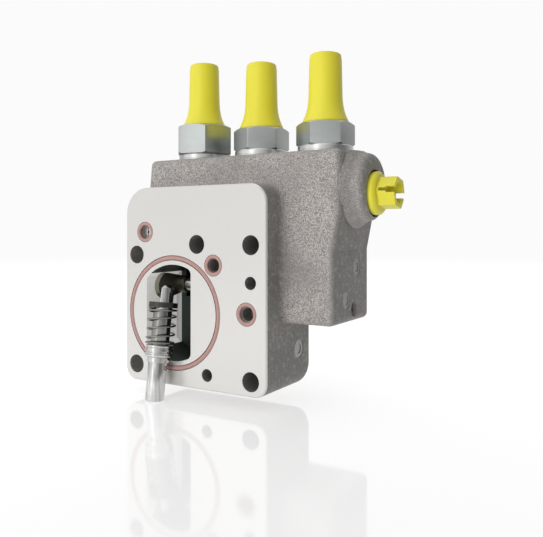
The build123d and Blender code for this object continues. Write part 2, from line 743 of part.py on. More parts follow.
# Adjusters: each has a spool, a spring, a spring seat, a screwed plug with its seal,
# a spindle, a lock nut and a protective cap
for index, name in enumerate(station_names):
    x = station_xs[index]
    hex_radius = hex_widths[index] / 2
    hex_top_z = hex_tops[index]
    spool_top_z = spool_rests[index] + spool_collar_thickness

    with BuildPart() as spool:
        with BuildSketch(upright(x)):
            with BuildLine():
                Polyline(
                    (0, spool_bottoms[index]),
                    (spool_radius - running_clearance, spool_bottoms[index]),
                    (spool_radius - running_clearance, land_groove_bottom),
                    (spool_land_groove_radius, land_groove_bottom),
                    (spool_land_groove_radius, land_groove_top),
                    (spool_radius - running_clearance, land_groove_top),
                    (spool_radius - running_clearance, spool_rests[index]),
                    (spool_collar_radius, spool_rests[index]),
                    (spool_collar_radius, spool_top_z),
                    (seat_spigot_radius, spool_top_z),
                    (seat_spigot_radius, spool_top_z + seat_spigot_length),
                    (0, spool_top_z + seat_spigot_length),
                    close=True,
                )
            make_face()
        revolve(axis=station_axis(x))
        if index == 0:
            with BuildSketch(level(x, neck_bottom_z)):
                Circle(neck_radius)
            extrude(amount=neck_top_z - neck_bottom_z)
            with BuildSketch(level(x, neck_bottom_z)):
                Circle(spool_head_radius)
            extrude(amount=-spool_head_height)
    spool.part.label = f"{name}_spool"
    export_step(spool.part, f"parts/{name}_spool.step")

    with BuildPart() as valve_spring:
        valve_spring_length = seat_bottom - spool_top_z - valve_spring_wire - 2 * fit_clearance
        with BuildLine():
            coil = Helix(
                pitch=valve_spring_length / valve_spring_turns,
                height=valve_spring_length,
                radius=valve_spring_outer_radius - valve_spring_wire / 2,
                center=(x, station_y, spool_top_z + valve_spring_wire / 2 + fit_clearance),
            )
        with BuildSketch(Plane(origin=coil @ 0, z_dir=coil % 0)):
            Circle(valve_spring_wire / 2)
        sweep(path=coil, is_frenet=True)
    valve_spring.part.label = f"{name}_spring"
    export_step(valve_spring.part, f"parts/{name}_spring.step")

    with BuildPart() as spring_seat:
        with BuildSketch(level(x, seat_bottom)):
            Circle(plug_chamber_radius - running_clearance)
        extrude(amount=seat_thickness)
        with BuildSketch(level(x, seat_bottom)):
            Circle(seat_spigot_radius)
        extrude(amount=-seat_spigot_length)
    spring_seat.part.label = f"{name}_spring_seat"
    export_step(spring_seat.part, f"parts/{name}_spring_seat.step")

    with BuildPart() as plug:
        with BuildSketch(level(x, hex_bottom_z)):
            RegularPolygon(hex_radius, 6, major_radius=False, rotation=hex_turns[index])
        extrude(amount=hex_top_z - hex_bottom_z)
        with BuildSketch(upright(x)):
            with BuildLine():
                Polyline(
                    (hex_radius, hex_top_z),
                    (2 * hex_radius, hex_top_z),
                    (2 * hex_radius, hex_top_z - hex_radius * hex_chamfer_slope),
                    close=True,
                )
            make_face()
        revolve(axis=station_axis(x), mode=Mode.SUBTRACT)
        with BuildSketch(upright(x)):
            with BuildLine():
                Polyline(
                    (0, shank_bottom_z),
                    (plug_thread_radius - screw_clearance, shank_bottom_z),
                    (plug_thread_radius - screw_clearance, collar_bottom_z),
                    (collar_radius, collar_bottom_z),
                    (collar_radius, hex_bottom_z),
                    (0, hex_bottom_z),
                    close=True,
                )
            make_face()
        revolve(axis=station_axis(x))
        with BuildSketch(level(x, shank_bottom_z)):
            Circle(plug_chamber_radius)
        extrude(amount=plug_chamber_roof - shank_bottom_z, mode=Mode.SUBTRACT)
        with BuildSketch(level(x, shank_bottom_z)):
            Circle(spindle_radius + screw_clearance)
        extrude(amount=hex_top_z - shank_bottom_z, mode=Mode.SUBTRACT)
    plug.part.label = f"{name}_adjuster_plug"
    export_step(plug.part, f"parts/{name}_adjuster_plug.step")

    with BuildPart() as plug_seal:
        with BuildSketch(level(x, plug_seat_z)):
            Circle(seal_outer_radius)
            Circle(seal_inner_radius, mode=Mode.SUBTRACT)
        extrude(amount=seal_thickness)
    plug_seal.part.label = f"{name}_plug_seal"
    export_step(plug_seal.part, f"parts/{name}_plug_seal.step")

    with BuildPart() as spindle:
        with BuildSketch(level(x, seat_bottom + seat_thickness)):
            Circle(spindle_radius)
        extrude(amount=hex_top_z + spindle_height - seat_bottom - seat_thickness)
        chamfer(spindle.faces().sort_by(Axis.Z)[-1].edges(), spindle_chamfer)
        with BuildSketch(level(x, hex_top_z + spindle_height)):
            RegularPolygon(spindle_socket_width / 2, 6, major_radius=False)
        extrude(amount=-spindle_socket_depth, mode=Mode.SUBTRACT)
    spindle.part.label = f"{name}_spindle"
    export_step(spindle.part, f"parts/{name}_spindle.step")

    with BuildPart() as lock_nut:
        with BuildSketch(level(x, hex_top_z + fit_clearance)):
            RegularPolygon(nut_width / 2, 6, major_radius=False)
            Circle(spindle_radius + screw_clearance, mode=Mode.SUBTRACT)
        extrude(amount=nut_height)
    lock_nut.part.label = f"{name}_lock_nut"
    export_step(lock_nut.part, f"parts/{name}_lock_nut.step")

    with BuildPart() as cap:
        foot_z = hex_top_z + fit_clearance
        with BuildSketch(upright(x)) as cap_profile:
            with BuildLine():
                Polyline(
                    (cap_foot_radius - cap_wall, foot_z),
                    (cap_foot_radius, foot_z),
                    (cap_foot_radius - cap_lip_step, foot_z + cap_foot_height),
                    (cap_neck_radius, foot_z + cap_neck_height),
                    (cap_top_radius, foot_z + cap_height),
                    (0, foot_z + cap_height),
                    (0, foot_z + cap_height - cap_wall),
                    (cap_top_radius - cap_wall, foot_z + cap_height - cap_wall),
                    (cap_neck_radius - cap_wall, foot_z + cap_neck_height),
                    (cap_foot_radius - cap_lip_step - cap_wall, foot_z + cap_foot_height),
                    close=True,
                )
            make_face()
            rim = cap_profile.vertices().group_by(Axis.Y)[-1].sort_by(Axis.X)[-1]
            fillet(rim, cap_edge_radius)
        revolve(axis=station_axis(x))
    cap.part.label = f"{name}_cap"
    export_step(cap.part, f"parts/{name}_cap.step")
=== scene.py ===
"""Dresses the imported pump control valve: finishes, turned and threaded pieces, and a pale studio."""

import json
import math

import bpy
from bpy.props import FloatProperty, FloatVectorProperty, IntProperty, PointerProperty
from bpy.types import Operator, Panel, PropertyGroup
from mathutils import Matrix, Vector


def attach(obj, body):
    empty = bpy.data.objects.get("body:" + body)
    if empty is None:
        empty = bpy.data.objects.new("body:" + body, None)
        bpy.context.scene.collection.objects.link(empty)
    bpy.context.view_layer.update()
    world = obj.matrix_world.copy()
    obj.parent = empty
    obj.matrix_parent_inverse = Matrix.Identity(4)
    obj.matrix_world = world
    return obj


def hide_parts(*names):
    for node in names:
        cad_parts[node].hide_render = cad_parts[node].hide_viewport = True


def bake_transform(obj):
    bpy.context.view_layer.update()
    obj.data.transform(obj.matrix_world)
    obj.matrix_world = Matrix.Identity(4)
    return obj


bl_info = {
    "name": "Pump Control Valve",
    "version": (1, 0, 0),
    "blender": (4, 5, 0),
    "location": "View3D > Sidebar > Valve",
    "description": "Builds the dressed pieces, finishes and studio of a pump control valve",
    "category": "Object",
}

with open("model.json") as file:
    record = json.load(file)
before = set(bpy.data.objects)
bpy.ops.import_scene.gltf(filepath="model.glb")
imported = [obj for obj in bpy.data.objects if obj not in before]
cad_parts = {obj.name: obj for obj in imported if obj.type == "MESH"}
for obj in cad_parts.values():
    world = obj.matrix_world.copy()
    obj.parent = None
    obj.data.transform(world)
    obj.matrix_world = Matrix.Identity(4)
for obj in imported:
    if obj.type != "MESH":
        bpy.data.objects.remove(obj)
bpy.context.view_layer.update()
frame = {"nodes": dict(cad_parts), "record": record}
nodes = frame["nodes"]

MM = 0.001

# Places in the CAD, in millimetres

STATIONS = ("left", "middle", "right")
STATION_X = (-5.2, 30.4, 66.0)
STATION_Y = 32.0
HEX_BOTTOM = 79.5
HEX_TOPS = (94.4, 90.3, 90.3)
HEX_WIDTHS = (27.0, 24.0, 24.0)
HEX_TURNS = (38.3, 62.0, 56.0)
SEAT_GAP = 0.02
PORT_AXIS = (32.0, 56.6)
AXLE = Vector((-4.4, -0.872, 10.924))
PIN_DOWN = Vector((0.0, -0.146428, -0.989221))
PIN_LEAN = math.atan2(-PIN_DOWN.y, -PIN_DOWN.z)
PIN_FRAME = Matrix((Vector((1, 0, 0)), PIN_DOWN.cross(Vector((1, 0, 0))), PIN_DOWN)).transposed()

# Machined walls of the casting as its finish finds them, in millimetres

BOLT_RADIUS = 4.6
LEFT_BOLTS = ((-23.3, 27.7), (-23.3, -26.9))
THROUGH_BOLTS = ((14.2, 33.2), (44.5, 33.2), (44.5, -28.1))
DOWEL_RADIUS = 3.1
DOWELS = ((44.4, 16.1), (20.3, -27.9))
OIL_PORTS = ((-17.9, 39.0, 5.2), (23.8, 23.5, 5.2), (42.2, 2.0, 5.5))
FLANGE_DEPTH, DRILLED_DEPTH, THROUGH = 20, 35, 100
SLOT_RADIUS, SLOT_LEFT, SLOT_RIGHT = 23.45, -16.85, 10.85
SLOT_FRONT, SLOT_BACK = 0.05, 39.2
MILLED_EDGE = -14.0
# Depth where the painted shade deep in the slot starts, and its span
DARK_START, DARK_SPAN = 22.5, 2.5
GROUND_DEPTH = 0.66
COUNTERBORE_RADIUS, COUNTERBORE_FLOOR = 15.6, 60.5
PORT_FACE_RADIUS, PORT_FACE = 10.7, 78.4

# Fine rings of turned steel: cells per metre along each axis, and depth

RING_CELLS = (30.0, 30.0, 5200.0)
RING_DEPTH = 0.01 * MM


# Shader maths


class Wire:
    """A socket that takes part in Python arithmetic by adding Math nodes to its tree."""

    def __init__(self, tree, socket):
        self.tree = tree
        self.socket = socket

    def math(self, operation, *others, clamp=False):
        """Add one Math node on this socket and the others."""
        node = self.tree.nodes.new("ShaderNodeMath")
        node.operation = operation
        node.use_clamp = clamp
        for socket, value in zip(node.inputs, (self, *others)):
            if isinstance(value, Wire):
                self.tree.links.new(value.socket, socket)
            else:
                socket.default_value = value
        return Wire(self.tree, node.outputs[0])

    def __add__(self, other):
        return self.math("ADD", other)

    __radd__ = __add__

    def __mul__(self, other):
        return self.math("MULTIPLY", other)

    __rmul__ = __mul__

    def __sub__(self, other):
        return self.math("SUBTRACT", other)

    def __rsub__(self, other):
        return self * -1.0 + other

    def __truediv__(self, other):
        return self.math("DIVIDE", other)

    def __pow__(self, other):
        return self.math("POWER", other)

    def __gt__(self, other):
        return self.math("GREATER_THAN", other)

    def __lt__(self, other):
        return self.math("LESS_THAN", other)

    def clamped(self):
        """The value held between 0 and 1."""
        return self.math("ADD", 0.0, clamp=True)

    def ramp(self, start, span):
        """A rise from 0 at the start to 1 one span later."""
        return ((self - start) / span).clamped()

    def contrast(self, gain):
        """The value spread about its middle and held between 0 and 1."""
        return ((self - 0.5) * gain + 0.5).clamped()

    def between(self, first, second):
        """The number at this share of the way from one to the other."""
        return self * (second - first) + first


class Finish:
    """One procedural material: its tree, its Principled shader and the piece's own coordinates."""

    def __init__(self, name):
        self.material = bpy.data.materials.new(name)
        self.material.use_nodes = True
        self.tree = self.material.node_tree
        self.shader = self.tree.nodes["Principled BSDF"]
        self.place = self.add("ShaderNodeTexCoord", {}, "Object")

    def feed(self, socket, value):
        """Give a socket a value or a link."""
        if isinstance(value, Wire):
            self.tree.links.new(value.socket, socket)
        else:
            socket.default_value = value

    def add(self, kind, values, output=0, **settings):
        """Add a node: its settings first, then the values or links of its sockets."""
        node = self.tree.nodes.new(kind)
        for key, value in settings.items():
            setattr(node, key, value)
        for key, value in values.items():
            self.feed(node.inputs[key], value)
        return Wire(self.tree, node.outputs[output])

    def axes(self, place=None):
        """The X, Y and Z wires of a place."""
        split = self.add("ShaderNodeSeparateXYZ", {"Vector": place or self.place})
        outputs = split.socket.node.outputs
        return tuple(Wire(self.tree, outputs[i]) for i in range(3))

    def turned_place(self, scale, rotation=(0, 0, 0), centre=(0, 0, 0)):
        """The piece's coordinates, centred, turned and stretched for a pattern."""
        moved = self.add("ShaderNodeVectorMath", {0: self.place, 1: centre}, operation="SUBTRACT")
        return self.add("ShaderNodeMapping", {"Vector": moved, "Rotation": rotation, "Scale": scale})

    def noise(self, scale, detail=2.0, roughness=0.5, place=None):
        """Smooth noise; scale is in cells per metre."""
        values = {"Vector": place or self.place, "Scale": scale, "Detail": detail, "Roughness": roughness}
        return self.add("ShaderNodeTexNoise", values, "Fac")

    def blend(self, factor, first, second):
        """A colour between two colours, each a wire or three numbers."""
        ends = [value if isinstance(value, Wire) else (*value, 1.0) for value in (first, second)]
        return self.add("ShaderNodeMix", {0: factor, 6: ends[0], 7: ends[1]}, 2, data_type="RGBA")

    def bump(self, height, depth, strength):
        """Surface relief of a depth in metres."""
        values = {"Height": height, "Distance": depth, "Strength": strength}
        self.shade(Normal=self.add("ShaderNodeBump", values, "Normal"))

    def shade(self, **values):
        """Give the Principled shader's sockets their values or links."""
        for key, value in values.items():
            self.feed(self.shader.inputs[key.replace("_", " ")], value)
        return self.material


# Finishes


def casting_finish(look):
    """Sand-cast iron with a ground mounting face and machined holes, seats and slot, with painted shade on
    the right flanks and in the slot, painted glints and highlights, and a painted glow on the milled wall.
    """
    finish = Finish("sand_cast_iron")
    x, y, z = finish.axes()

    def near(across, along, centre_a, centre_b, radius):
        """Inside a cylinder about an axis, all in millimetres."""
        da = across - centre_a * MM
        db = along - centre_b * MM
        return (da * da + db * db) < (radius * MM) ** 2

    slot = near(x, z, 0, 0, SLOT_RADIUS) * (x > SLOT_LEFT * MM) * (x < SLOT_RIGHT * MM)
    slot = slot * (y > SLOT_FRONT * MM) * (y < SLOT_BACK * MM)
    ground = (y < GROUND_DEPTH * MM) * (1 - slot)
    holes = [(*bolt, BOLT_RADIUS, FLANGE_DEPTH) for bolt in LEFT_BOLTS]
    holes += [(*bolt, BOLT_RADIUS, THROUGH) for bolt in THROUGH_BOLTS]
    holes += [(*dowel, DOWEL_RADIUS, DRILLED_DEPTH) for dowel in DOWELS]
    holes += [(*port, DRILLED_DEPTH) for port in OIL_PORTS]
    drilled = sum(near(x, z, *hole) * (y < depth * MM) for *hole, depth in holes)
    for station in STATION_X:
        drilled = drilled + near(x, y, station, STATION_Y, COUNTERBORE_RADIUS) * (z > COUNTERBORE_FLOOR * MM)
    drilled = drilled + near(y, z, *PORT_AXIS, PORT_FACE_RADIUS) * (x > PORT_FACE * MM)
    machined = (slot + drilled).clamped() * (1 - ground)
    milled = (x < MILLED_EDGE * MM) * slot
    # Painted shade: rises with depth towards the back of the slot
    deep = y.ramp(DARK_START * MM, DARK_SPAN * MM)

    grain = finish.noise(2500.0, 4.0, 0.75)
    sand = finish.noise(700.0, 2.0, 0.6)
    mottle = finish.noise(420.0, 3.0, 0.6)
    patches = finish.noise(38.0, 3.0, 0.55)
    wear = finish.noise(28.0, 3.0, 0.55)
    lines = finish.noise(60.0, 2.0, 0.5, finish.turned_place((30.0, 1.0, 1.0)))
    pits = finish.add("ShaderNodeTexVoronoi", {"Vector": finish.place, "Scale": 900.0}, "Distance")
    speckle = grain.contrast(7.0)
    # How far a face turns to the right; it places the painted shade and painted highlights on the flanks
    facing = finish.axes(finish.add("ShaderNodeNewGeometry", {}, "Normal"))[0].ramp(0.25, 0.625)

    cast = finish.blend(speckle, look.casting_dark, look.casting_light)
    cast = finish.blend((patches * 1.6 - 0.45).clamped(), cast, look.casting_shade)
    # Painted glints: small bright spots on the cast skin
    cast = finish.blend(((0.16 - pits) * 9.0).clamped() * speckle, cast, look.casting_painted_glint)
    # Painted shade: faces turned to the right are darkened
    cast = finish.blend(facing * 0.6, cast, look.casting_flank_painted_shade)
    # Painted highlights: bright patches, strongest on faces turned to the right
    cast = finish.blend(mottle.ramp(0.52, 0.2) * (facing * 0.26 + 0.06), cast, look.casting_painted_glint)
    face = finish.blend(lines * 0.5 + wear * 0.5, look.ground_dark, look.ground_light)
    bored = finish.blend(lines, look.bored_dark, look.bored_light)
    # Painted shade: dark colour on the slot's walls
    bored = finish.blend(slot, bored, look.slot_painted_shade)
    # Partly painted light: the milled wall's bright colour, lightened beyond the metal's own
    bored = finish.blend(milled, bored, look.milled)
    # Painted shade deep in the slot
    bored = finish.blend(deep, bored, look.slot_painted_deep_shade)
    base = finish.blend(machined, finish.blend(ground, cast, face), bored)

    rough = ground.between(grain * 0.2 + 0.5, wear * 0.05 + 0.2)
    metal = ground.between(machined * 0.5 + 0.15, 0.55) * (1 - milled)
    relief = (grain * 0.8 + sand * 0.5 + pits * 0.3) * (1 - ground) * (1 - machined) + lines * 0.004
    finish.bump(relief, 0.46 * MM, 0.9)
    # Painted light: the milled wall glows, except deep in the slot
    glow = finish.blend(milled * (1 - deep), (0, 0, 0), look.milled_painted_glow)
    finish.shade(Emission_Color=glow, Emission_Strength=1.0)
    return finish.shade(Base_Color=base, Roughness=rough, Metallic=metal)


def steel_finish(name, dark, light, rough, spread=0.08, cells=(400.0, 400.0, 20.0), depth=0.02 * MM):
    """Bare or plated steel with fine marks; cells are per metre along each axis."""
    finish = Finish(name)
    marks = finish.noise(1.0, 3.0, 0.6, finish.turned_place(cells))
    cloud = finish.noise(120.0, 2.0, 0.5)
    finish.bump(marks, depth, 0.5)
    base = finish.blend((marks * 0.6 + cloud * 0.6 - 0.1).clamped(), dark, light)
    return finish.shade(Base_Color=base, Roughness=cloud * spread + rough, Metallic=1.0)


def turned_finish(name, dark, light, rough, rotation=(0.0, 0.0, 0.0)):
    """Turned steel with fine rings round its axis."""
    finish = Finish(name)
    rings = finish.noise(1.0, 2.0, 0.5, finish.turned_place(RING_CELLS, rotation))
    cloud = finish.noise(150.0, 2.0, 0.5)
    finish.bump(rings, RING_DEPTH, 0.6)
    base = finish.blend((rings * 0.7 + cloud * 0.4 - 0.05).clamped(), dark, light)
    return finish.shade(Base_Color=base, Roughness=rings * 0.1 + rough, Metallic=1.0)


def pin_finish(name, dark, light, darker_under_spring):
    """Turned pin steel with streaks along the pin and a darker stretch under the spring."""
    finish = Finish(name)
    turned = {"rotation": (-PIN_LEAN, 0.0, 0.0), "centre": tuple(AXLE * MM)}
    along = finish.axes(finish.turned_place((1.0, 1.0, 1.0), **turned))[2] * -1.0
    rings = finish.noise(1.0, 2.0, 0.5, finish.turned_place(RING_CELLS, **turned))
    streaks = finish.noise(1.0, 2.0, 0.6, finish.turned_place((900.0, 900.0, 14.0), **turned))
    finish.bump(rings + streaks * 0.5, RING_DEPTH, 0.6)
    base = finish.blend(streaks.contrast(2.4), dark, light)
    # A darker stretch of the pin where the spring sits round it
    stretch_start, stretch_end, stretch_edge = 8.5 * MM, 26.3 * MM, 0.5 * MM
    under = along.ramp(stretch_start, stretch_edge) * (along * -1.0).ramp(-stretch_end, stretch_edge)
    base = finish.blend(under * 0.8, base, darker_under_spring)
    return finish.shade(Base_Color=base, Roughness=rings * 0.1 + 0.16, Metallic=1.0)


def rubber_finish(name, base, shade):
    """Moulded seal rubber with a dull bloom."""
    finish = Finish(name)
    bloom = finish.noise(500.0, 3.0, 0.6)
    finish.bump(bloom, 0.04 * MM, 0.6)
    return finish.shade(Base_Color=finish.blend(bloom, shade, base), Roughness=bloom * 0.2 + 0.5)


def plastic_finish(look):
    """Soft glossy yellow plastic with faint flow marks."""
    finish = Finish("yellow_cap_plastic")
    flow = finish.noise(1.0, 2.0, 0.5, finish.turned_place((160.0, 160.0, 25.0)))
    fine = finish.noise(900.0, 2.0, 0.5)
    finish.bump(flow * 0.8 + fine * 0.1, 0.12 * MM, 0.5)
    finish.shade(Specular_IOR_Level=0.5, Subsurface_Weight=0.0)
    colour = finish.blend(flow, look.plastic_shade, look.plastic)
    return finish.shade(Base_Color=colour, Roughness=flow * 0.1 + 0.27)


# Modelling by hand


def context_piece(name):
    """Name the piece that an operator has just added."""
    piece = bpy.context.object
    piece.name = name
    piece.data.name = name
    return piece


def pick(piece):
    """Select one piece alone and make it the active one."""
    bpy.ops.object.select_all(action="DESELECT")
    piece.select_set(True)
    bpy.context.view_layer.objects.active = piece


def begin_profile(name, point):
    """Start a profile with a single vertex, in the XZ plane, sizes in millimetres."""
    bpy.ops.object.select_all(action="DESELECT")
    bpy.ops.mesh.primitive_plane_add(size=MM, location=(point[0] * MM, 0, point[1] * MM))
    piece = context_piece(name)
    bpy.ops.object.transform_apply(location=True)
    bpy.ops.object.mode_set(mode="EDIT")
    bpy.ops.mesh.select_all(action="SELECT")
    bpy.ops.mesh.merge(type="CENTER")
    return piece


def extend_profile(points):
    """Extrude the profile's last vertex from point to point, in millimetres."""
    for (start_x, start_z), (end_x, end_z) in zip(points, points[1:]):
        step = ((end_x - start_x) * MM, 0, (end_z - start_z) * MM)
        bpy.ops.mesh.extrude_vertices_move(TRANSFORM_OT_translate={"value": step})


def clean_shell():
    """Merge doubles and point the faces outwards, then leave edit mode."""
    bpy.ops.mesh.select_all(action="SELECT")
    bpy.ops.mesh.remove_doubles(threshold=0.002 * MM)
    bpy.ops.mesh.normals_make_consistent(inside=False)
    bpy.ops.object.mode_set(mode="OBJECT")


def turn(name, points, steps):
    """Spin a profile of radius and height points about the Z axis."""
    piece = begin_profile(name, points[0])
    extend_profile(points)
    bpy.ops.mesh.select_all(action="SELECT")
    bpy.ops.mesh.spin(steps=steps, angle=2 * math.pi, center=(0, 0, 0), axis=(0, 0, 1))
    clean_shell()
    return piece


def ridges(crest, root, start, count, heights):
    """Points of ring-shaped thread ridges; heights are those of a ridge's corners above its foot."""
    pitch = 1.5
    points = []
    for ridge in range(count):
        foot = start + ridge * pitch
        corners = zip((crest, crest, root, root, crest), (0, *heights))
        points += [(radius, foot + height) for radius, height in corners]
    return points


def hex_prism(name, width, bottom, top, turn_degrees):
    """A hexagonal prism about the Z axis with flats at a width, in millimetres."""
    bpy.ops.object.select_all(action="DESELECT")
    bpy.ops.mesh.primitive_cylinder_add(
        vertices=6,
        radius=width / math.sqrt(3) * MM,
        depth=(top - bottom) * MM,
        location=(0, 0, (top + bottom) / 2 * MM),
        rotation=(0, 0, math.radians(turn_degrees)),
    )
    piece = context_piece(name)
    bpy.ops.object.transform_apply(location=True, rotation=True)
    return piece


def block(name, size):
    """A box about the origin, its sizes in millimetres."""
    bpy.ops.object.select_all(action="DESELECT")
    bpy.ops.mesh.primitive_cube_add(size=MM, location=(0, 0, 0))
    piece = context_piece(name)
    bpy.ops.object.mode_set(mode="EDIT")
    bpy.ops.mesh.select_all(action="SELECT")
    bpy.ops.transform.resize(value=size)
    bpy.ops.object.mode_set(mode="OBJECT")
    return piece


def combine(piece, other, operation):
    """Join, cut or intersect a piece with another, which is used up."""
    pick(piece)
    bpy.ops.object.modifier_add(type="BOOLEAN")
    modifier = piece.modifiers[-1]
    modifier.operation = operation
    modifier.solver = "EXACT"
    modifier.object = other
    bpy.ops.object.modifier_apply(modifier=modifier.name)
    bpy.data.objects.remove(other)


def soften(piece, width, segments=2, angle=25.0):
    """Round the edges over an angle by a width in millimetres, then smooth the shallow ones."""
    pick(piece)
    bpy.ops.object.modifier_add(type="BEVEL")
    modifier = piece.modifiers[-1]
    modifier.width = width * MM
    modifier.segments = segments
    modifier.limit_method = "ANGLE"
    modifier.angle_limit = math.radians(angle)
    modifier.use_clamp_overlap = True
    bpy.ops.object.modifier_apply(modifier=modifier.name)
    bpy.ops.object.shade_smooth_by_angle(angle=math.radians(35))


def put(piece, place, turn_matrix=Matrix.Identity(3)):
    """Turn a piece and move it to a place in millimetres, then apply both."""
    pick(piece)
    piece.matrix_world = Matrix.Translation(Vector(place) * MM) @ turn_matrix.to_4x4()
    bpy.ops.object.transform_apply(location=True, rotation=True, scale=True)


def rotation(axis, degrees):
    """A rotation about an axis."""
    return Matrix.Rotation(math.radians(degrees), 3, axis)


def coil(name, radius, wire, start, runs, first_angle=0.0):
    """A round-wire spring about the Z axis; each run gives its turns and its rise in millimetres."""
    height = start + wire / 2
    angle = first_angle
    parts = []
    for turns, rise in runs:
        bpy.ops.object.select_all(action="DESELECT")
        bpy.ops.mesh.primitive_circle_add(
            vertices=12, radius=wire / 2 * MM, fill_type="NOTHING", rotation=(math.pi / 2, 0, 0)
        )
        part = context_piece(name)
        bpy.ops.object.transform_apply(rotation=True)
        put(part, (radius, 0, height))
        put(part, (0, 0, 0), Matrix.Rotation(angle, 3, "Z"))
        bpy.ops.object.modifier_add(type="SCREW")
        screw = part.modifiers[-1]
        screw.angle = turns * 2 * math.pi
        screw.screw_offset = rise * MM
        screw.steps = screw.render_steps = max(6, round(turns * 36))
        screw.use_merge_vertices = False
        bpy.ops.object.modifier_apply(modifier=screw.name)
        height += rise
        angle += turns * 2 * math.pi
        parts.append(part)
    for part in parts:
        part.select_set(True)
    bpy.context.view_layer.objects.active = parts[0]
    bpy.ops.object.join()
    bpy.ops.object.mode_set(mode="EDIT")
    bpy.ops.mesh.select_all(action="SELECT")
    bpy.ops.mesh.remove_doubles(threshold=0.003 * MM)
    bpy.ops.mesh.select_all(action="DESELECT")
    bpy.ops.mesh.select_non_manifold()
    bpy.ops.mesh.edge_face_add()
    clean_shell()
    bpy.ops.object.shade_smooth_by_angle(angle=math.radians(50))
    return parts[0]


def coat(name):
    """The material that a CAD node has been given."""
    return nodes[name].data.materials[0]


def finish_piece(piece, material, slot, body, *replaced):
    """Give a piece its material and its body, and hide the CAD nodes that it stands for."""
    piece.data.materials.clear()
    piece.data.materials.append(material)
    if body:
        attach(piece, body)
    if replaced:
        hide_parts(*replaced)


# Settings


def tone(name, description, default):
    """A colour setting."""
    return FloatVectorProperty(name=name, description=description, subtype="COLOR", size=3, default=default)


def size(name, description, default, least, most):
    """A setting in millimetres."""
    return FloatProperty(name=name, description=description, default=default, min=least, max=most)


def power(name, description, default):
    """The power of a lamp."""
    return FloatProperty(name=name, description=description, unit="POWER", default=default, min=0)


class ValveLook(PropertyGroup):
    """Colours of the valve's surfaces."""

    casting_light: tone("Casting light", "Bright grains of the cast skin", (0.71, 0.66, 0.63))
    casting_dark: tone("Casting dark", "Dark grains of the cast skin", (0.14, 0.13, 0.123))
    casting_shade: tone("Casting patches", "Broad darker patches of the cast skin", (0.25, 0.232, 0.22))
    # Painted glints and painted highlights on the cast skin
    casting_painted_glint: tone("Casting glint", "Small bright grains of the cast skin", (0.72, 0.68, 0.66))
    # Painted shade laid on the faces turned to the right
    casting_flank_painted_shade: tone("Casting flank", "Cooler tone of the flanks at the right", (0.18, 0.182, 0.168))
    # Painted shade on the slot's walls
    slot_painted_shade: tone("Slot wall", "Oil-dark walls of the slot", (0.060, 0.078, 0.068))
    # Milled wall colour, partly painted light
    milled: tone("Milled wall", "Bright milled wall at the left of the slot", (0.93, 0.925, 0.90))
    # Painted light: glow on the milled wall
    milled_painted_glow: tone("Milled glow", "Light that the milled wall adds to its own", (0.30, 0.295, 0.285))
    ground_light: tone("Ground face light", "Bright lines of the ground face", (0.70, 0.69, 0.665))
    ground_dark: tone("Ground face dark", "Dark lines of the ground face", (0.65, 0.64, 0.615))
    bored_light: tone("Bored light", "Bright lines of bored walls", (0.46, 0.45, 0.43))
    bored_dark: tone("Bored dark", "Dark lines of bored walls", (0.28, 0.27, 0.255))
    # Painted shade deep in the slot
    slot_painted_deep_shade: tone("Bored deep", "Oil-dark iron deep in the slot", (0.030, 0.042, 0.036))
    plastic: tone("Plastic", "Yellow of the protective plastic", (0.76, 0.70, 0.045))
    plastic_shade: tone("Plastic shade", "Deeper yellow in the plastic's flow marks", (0.70, 0.62, 0.035))
    zinc_light: tone("Zinc light", "Bright zinc plating", (0.56, 0.59, 0.58))
    zinc_dark: tone("Zinc dark", "Dull zinc plating", (0.44, 0.465, 0.46))
    seal: tone("Seal rubber", "Brown rubber of the face seals", (0.50, 0.31, 0.285))


class ValveDetail(PropertyGroup):
    """Sizes of the modelled details."""

    hex_edge: size("Hexagon edge", "Rounding of the hexagons' edges in millimetres", 0.22, 0.05, 0.6)
    cap_wall: size("Cap wall", "Wall of the protective caps in millimetres", 1.2, 0.6, 2.0)
    spindle_pitch: size("Spindle pitch", "Thread pitch of the spindles in millimetres", 1.0, 0.5, 1.5)
    turn_steps: IntProperty(
        name="Turn steps", description="Steps round a turned piece", default=96, min=32, max=160
    )


class ValveStage(PropertyGroup):
    """Camera, lamps and floor."""

    azimuth: FloatProperty(
        name="Azimuth",
        description="Direction of the camera round the valve",
        subtype="ANGLE",
        default=math.radians(31.0),
    )
    lens: size("Lens", "Focal length in millimetres", 42.5, 20, 120)
    key_power: power("Key lamp", "Power of the soft lamp in front of the valve", 4.6)
    fill_power: power("Top lamp", "Power of the soft lamp overhead", 0.6)
    floor_level: FloatProperty(
        name="Floor level", description="Height of the floor", unit="LENGTH", default=-0.0410
    )


# Operators


